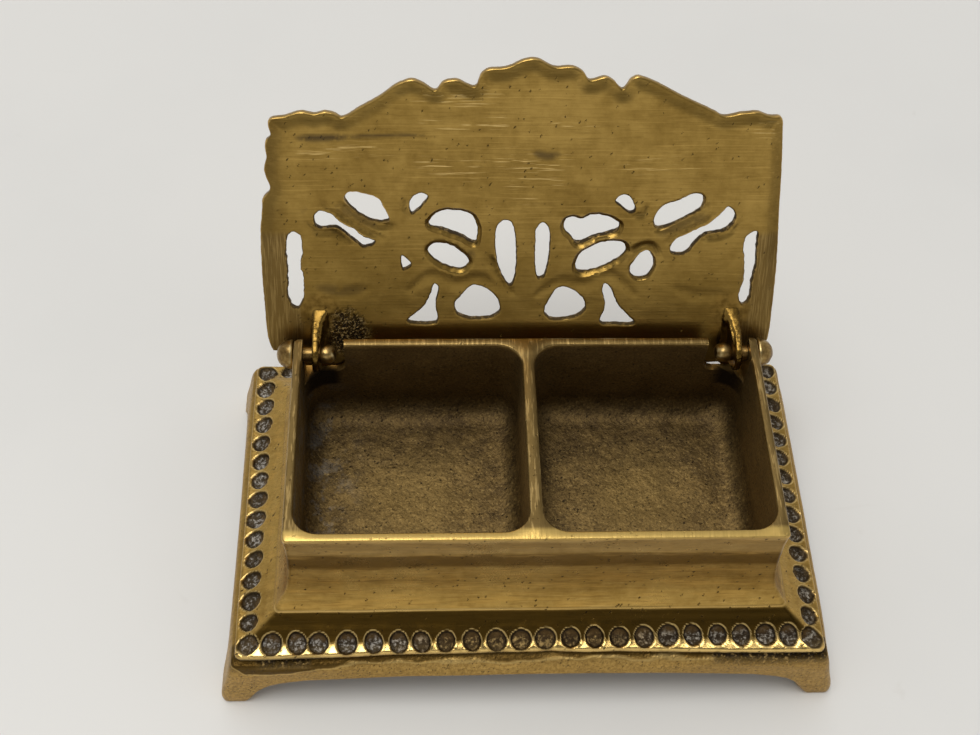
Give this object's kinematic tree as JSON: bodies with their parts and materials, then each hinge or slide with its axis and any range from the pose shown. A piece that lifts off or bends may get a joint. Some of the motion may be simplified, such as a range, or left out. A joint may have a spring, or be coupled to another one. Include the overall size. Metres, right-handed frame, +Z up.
{
  "type": "stamp box",
  "caption": "Cast brass desk box with side-by-side stamp compartments, a pitted moulded ledge, bracket feet and a pierced scalloped lid that swings on round-headed rivets.",
  "frame": {"origin": "on the table, under the middle of the bounding box with the lid open", "axes": "+X along the width towards the right wall, +Y towards the back, where the lid leans, +Z up"},
  "size_m": [0.104, 0.0754, 0.0767],
  "materials": {
    "cast_brass": "aged cast brass, rubbed bright on the edges",
    "lid_brass": "aged olive brown brass with fine scratches",
    "rivet_brass": "dull brass"
  },
  "bodies": {
    "box": {"box_body": "cast_brass", "hinge_pin_left": "rivet_brass", "hinge_pin_right": "rivet_brass"},
    "lid": {"lid": "lid_brass"}
  },
  "joints": [
    {"name": "lid_hinge", "type": "hinge", "parent": "box", "child": "lid", "pos_m": [0, 0.01114, 0.0326], "axis": [1, 0, 0], "range_deg": [0, 115]}
  ]
}
